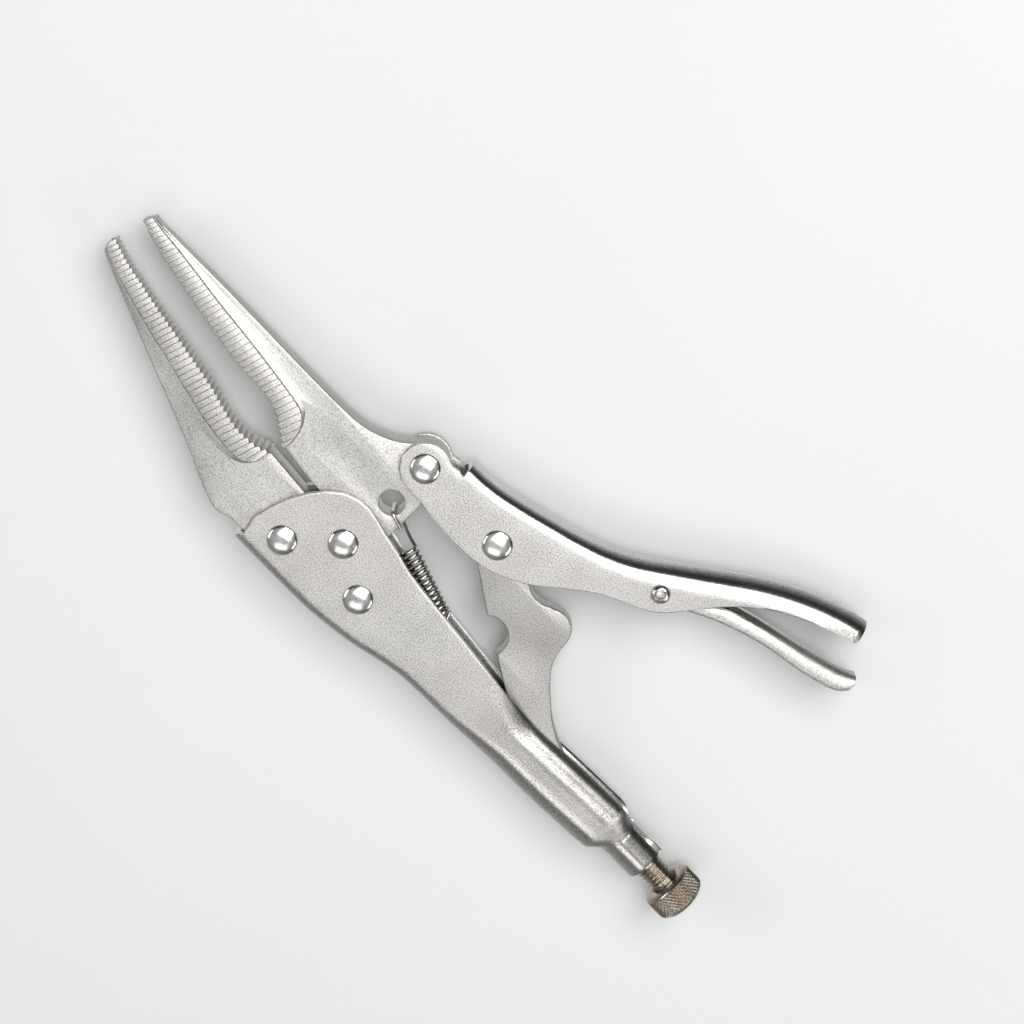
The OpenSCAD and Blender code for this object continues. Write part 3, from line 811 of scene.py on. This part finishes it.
nickel = finish_metal("satin nickel", (0.2, 0.194, 0.184), (0.63, 0.615, 0.595), 0.39, 3000, 1.0,
                      polished=0.18)
jaw_steel = finish_metal("jaw steel", (0.26, 0.252, 0.24), (0.6, 0.588, 0.565), 0.4, 3000, 0.9)
link_steel = finish_metal("link steel", (0.2, 0.193, 0.18), (0.55, 0.537, 0.515), 0.42, 3000, 1.0)
rivet_steel = finish_metal("polished rivet", (0.6, 0.59, 0.575), (0.78, 0.77, 0.75), 0.18, 900, 0.12)
spring_steel = finish_metal("dark spring wire", (0.34, 0.33, 0.315), (0.56, 0.545, 0.525), 0.24, 1400, 0.15)
screw_steel = finish_metal("warm nickel thread", (0.3, 0.265, 0.22), (0.45, 0.405, 0.345), 0.22, 1600, 0.06)

pieces = [
    (fixed_handle, "fixed_handle", "fixed_handle", nickel, "handle_nickel"),
    (fixed_jaw, "fixed_jaw", "fixed_handle", jaw_steel, "jaw_steel"),
    (moving_jaw, "moving_jaw", "moving_jaw", jaw_steel, "jaw_steel"),
    (moving_handle, "moving_handle", "moving_handle", nickel, "handle_nickel"),
    (release_lever, "release_lever", "release_lever", nickel, "handle_nickel"),
    (toggle_link, "toggle_link", "toggle_link", link_steel, "link_steel"),
    (tension_spring, "tension_spring", None, spring_steel, "spring_wire"),
    (adjusting_screw, "adjusting_screw", "screw_rod", screw_steel, "screw_nickel"),
    (knurled_knob, "knurled_knob", "knob", screw_steel, "screw_nickel"),
]
pieces += [(o, node, body, rivet_steel, "rivet_nickel") for o, node, body in rivets]
for o, node, body, material, slot in pieces:
    o.data.materials.clear()
    o.data.materials.append(material)
    if body:
        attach(o, body)
    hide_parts(node)
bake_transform(tension_spring)


# Bench, light and camera
def ground():
    """The pale bench, with a faint cloudiness in its colour."""
    bm = bmesh.new()
    bmesh.ops.create_grid(bm, x_segments=8, y_segments=8, size=3)
    me = bpy.data.meshes.new("bench")
    bm.to_mesh(me)
    bm.free()
    o = bpy.data.objects.new("bench", me)
    scene.collection.objects.link(o)
    m = bpy.data.materials.new("pale bench")
    m.use_nodes = True
    b = m.node_tree.nodes["Principled BSDF"]
    b.inputs["Roughness"].default_value = 0.7
    coord, noise = m.node_tree.nodes.new("ShaderNodeTexCoord"), m.node_tree.nodes.new("ShaderNodeTexNoise")
    ramp = m.node_tree.nodes.new("ShaderNodeValToRGB")
    noise.inputs["Scale"].default_value = 6
    ramp.color_ramp.elements[0].color = (0.645, 0.645, 0.645, 1)
    ramp.color_ramp.elements[1].color = (0.675, 0.675, 0.675, 1)
    m.node_tree.links.new(coord.outputs["Object"], noise.inputs["Vector"])
    m.node_tree.links.new(noise.outputs["Fac"], ramp.inputs["Fac"])
    m.node_tree.links.new(ramp.outputs["Color"], b.inputs["Base Color"])
    me.materials.append(m)
    return o


def lamp(name, place, aim, size, power):
    d = bpy.data.lights.new(name, "AREA")
    d.shape, d.size, d.size_y, d.energy = "RECTANGLE", size[0], size[1], power
    o = bpy.data.objects.new(name, d)
    o.location = Vector(place)
    o.rotation_euler = (Vector(aim) - Vector(place)).to_track_quat("-Z", "Y").to_euler()
    scene.collection.objects.link(o)
    return o


BENCH_GAP = 0.2
bench = ground()
bench.location.z = -BENCH_GAP * MM
bench.visible_glossy = False
target = Vector((23.25, 35.11, 7.2)) * MM
lights = [
    lamp("key", (-0.1, 0.85, 0.8), target, (0.9, 0.35), 5.5),
    lamp("fill", (0.35, -0.55, 0.95), target, (0.7, 0.4), 1.3),
    lamp("low", (-0.75, -0.5, 0.5), target, (0.6, 0.25), 2.2),
    lamp("rear", (0.9, 0.1, 0.5), target, (0.5, 0.25), 1.6),
    lamp("over", (-0.05, 0.38, 1.25), target, (0.95, 0.95), 10.2),
]
world = bpy.data.worlds.new("studio")
scene.world = world
world.use_nodes = True
sky = world.node_tree
direction, parts = sky.nodes.new("ShaderNodeTexCoord"), sky.nodes.new("ShaderNodeSeparateXYZ")
sky.links.new(direction.outputs["Generated"], parts.inputs["Vector"])
up_share = sky.nodes.new("ShaderNodeMapRange")
up_share.inputs["From Min"].default_value = -1
sky.links.new(parts.outputs["Z"], up_share.inputs["Value"])
low_side = sky.nodes.new("ShaderNodeMapRange")
low_side.inputs["From Min"].default_value, low_side.inputs["From Max"].default_value = -0.15, -0.9
sky.links.new(parts.outputs["Y"], low_side.inputs["Value"])
blend = sky.nodes.new("ShaderNodeMix")
blend.data_type = "RGBA"
sky.links.new(low_side.outputs["Result"], blend.inputs[FACTOR])
# Brightness by height, from straight down to straight up: all round, and on the side of the fixed handle
for socket, shades in (
        (COLOUR_A, [(0.0, 0.75), (0.12, 0.5), (0.27, 0.25), (0.44, 0.08), (0.56, 0.028), (0.74, 0.04),
                    (0.96, 0.42)]),
        (COLOUR_B, [(0.0, 0.75), (0.2, 0.5), (0.44, 0.34), (0.6, 0.28), (0.74, 0.22), (0.96, 0.42)])):
    height = sky.nodes.new("ShaderNodeValToRGB")
    for share, level in shades[1:-1]:
        height.color_ramp.elements.new(share)
    for step, (share, level) in zip(height.color_ramp.elements, shades):
        step.position, step.color = share, (level, level, level, 1)
    sky.links.new(up_share.outputs["Result"], height.inputs["Fac"])
    sky.links.new(height.outputs["Color"], blend.inputs[socket])
sky.links.new(blend.outputs[COLOUR_OUT], sky.nodes["Background"].inputs["Color"])
sky.nodes["Background"].inputs["Strength"].default_value = 1.25
scene.view_settings.view_transform = "Standard"

# The photo's view: where the camera stands, which way is up in the picture, and the lens
EYE, PICTURE_UP = Vector((-97.8, 145.8, 579.2)), Vector((-0.7092, 0.6489, -0.2756))
camera = bpy.data.objects.new("camera", bpy.data.cameras.new("camera"))
scene.collection.objects.link(camera)
camera.data.lens, camera.data.sensor_width = 84.375, 36
eye = EYE * MM
back_dir = (eye - target).normalized()
right = PICTURE_UP.cross(back_dir).normalized()
up = back_dir.cross(right)
turned = Matrix((right, up, back_dir)).transposed().to_4x4()
camera.matrix_world = Matrix.Translation(eye) @ turned
camera.data.clip_start, camera.data.clip_end = 0.01, 20
scene.camera = camera
